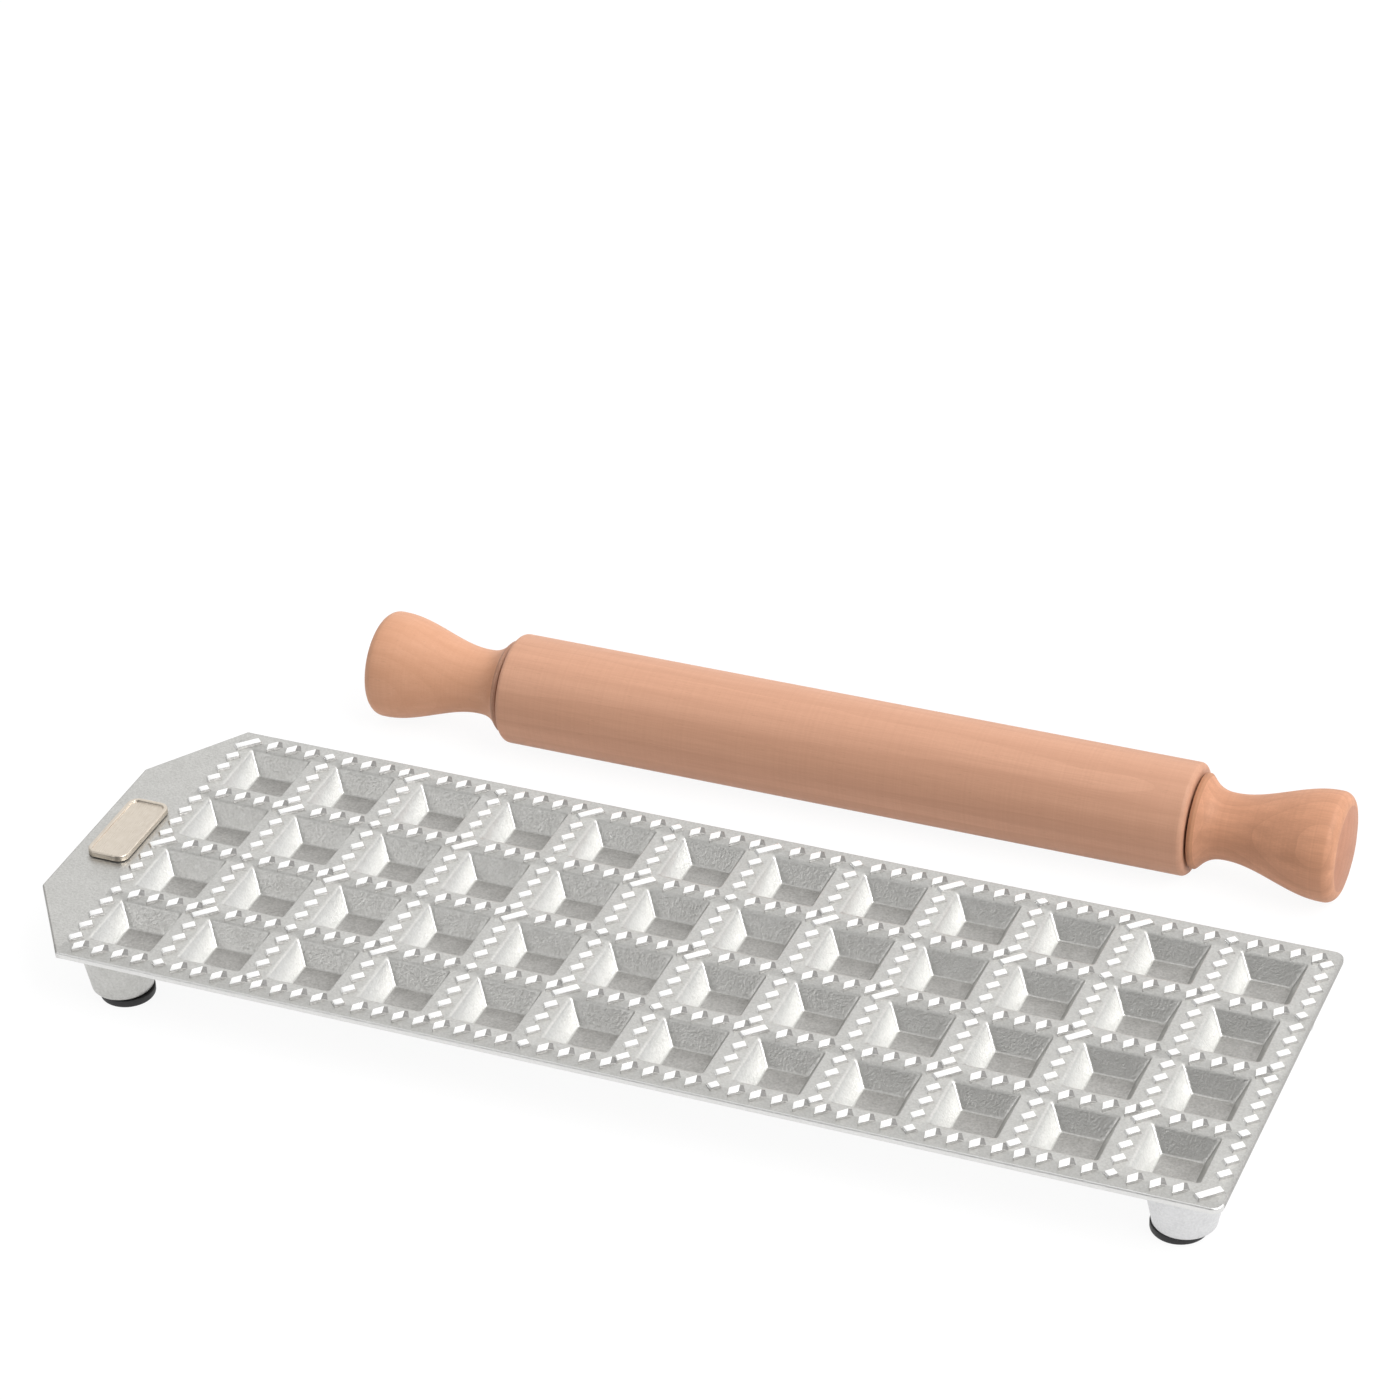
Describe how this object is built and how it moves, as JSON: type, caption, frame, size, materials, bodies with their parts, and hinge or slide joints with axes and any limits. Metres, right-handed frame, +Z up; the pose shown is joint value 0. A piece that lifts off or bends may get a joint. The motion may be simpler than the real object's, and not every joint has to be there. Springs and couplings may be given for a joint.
{
  "type": "ravioli mould",
  "caption": "Cast aluminium ravioli tray with square pockets, toothed ridges, tab and rubber-padded legs, with a wooden rolling pin that turns on its axle.",
  "frame": {"origin": "on the table, under the middle of the bounding box of the mould and its rolling pin", "axes": "+X along the mould, away from its tab; +Y from the mould to the rolling pin; +Z up"},
  "size_m": [0.3354, 0.1802, 0.0315],
  "materials": {
    "cast_aluminium": "satin as cast, with bright ground tooth tops",
    "champagne_metal": "satin, nickel-tinted to champagne",
    "black_rubber": "matte moulded",
    "barrel_wood": "sanded, unvarnished",
    "handle_wood": "sanded, unvarnished",
    "axle_steel": "drawn bright",
    "bush_nylon": "natural"
  },
  "bodies": {
    "mould": {"mould_tray": "cast_aluminium", "badge_plate": "champagne_metal", "foot_pad_front_left": "black_rubber", "foot_pad_back_left": "black_rubber", "foot_pad_front_right": "black_rubber", "foot_pad_back_right": "black_rubber"},
    "pin_core": {"pin_axle": "axle_steel", "pin_handle_left": "handle_wood", "pin_handle_right": "handle_wood"},
    "pin_barrel": {"pin_barrel": "barrel_wood", "pin_bush_left": "bush_nylon", "pin_bush_right": "bush_nylon"}
  },
  "joints": [
    {"name": "pin_lift", "type": "slide", "parent": "mould", "child": "pin_core", "axis": [0, 0, 1], "range_m": [0, 0.12]},
    {"name": "barrel_spin", "type": "hinge", "parent": "pin_core", "child": "pin_barrel", "pos_m": [0.0113, 0.07437, 0.01575], "axis": [1, 0, 0], "continuous": true}
  ]
}
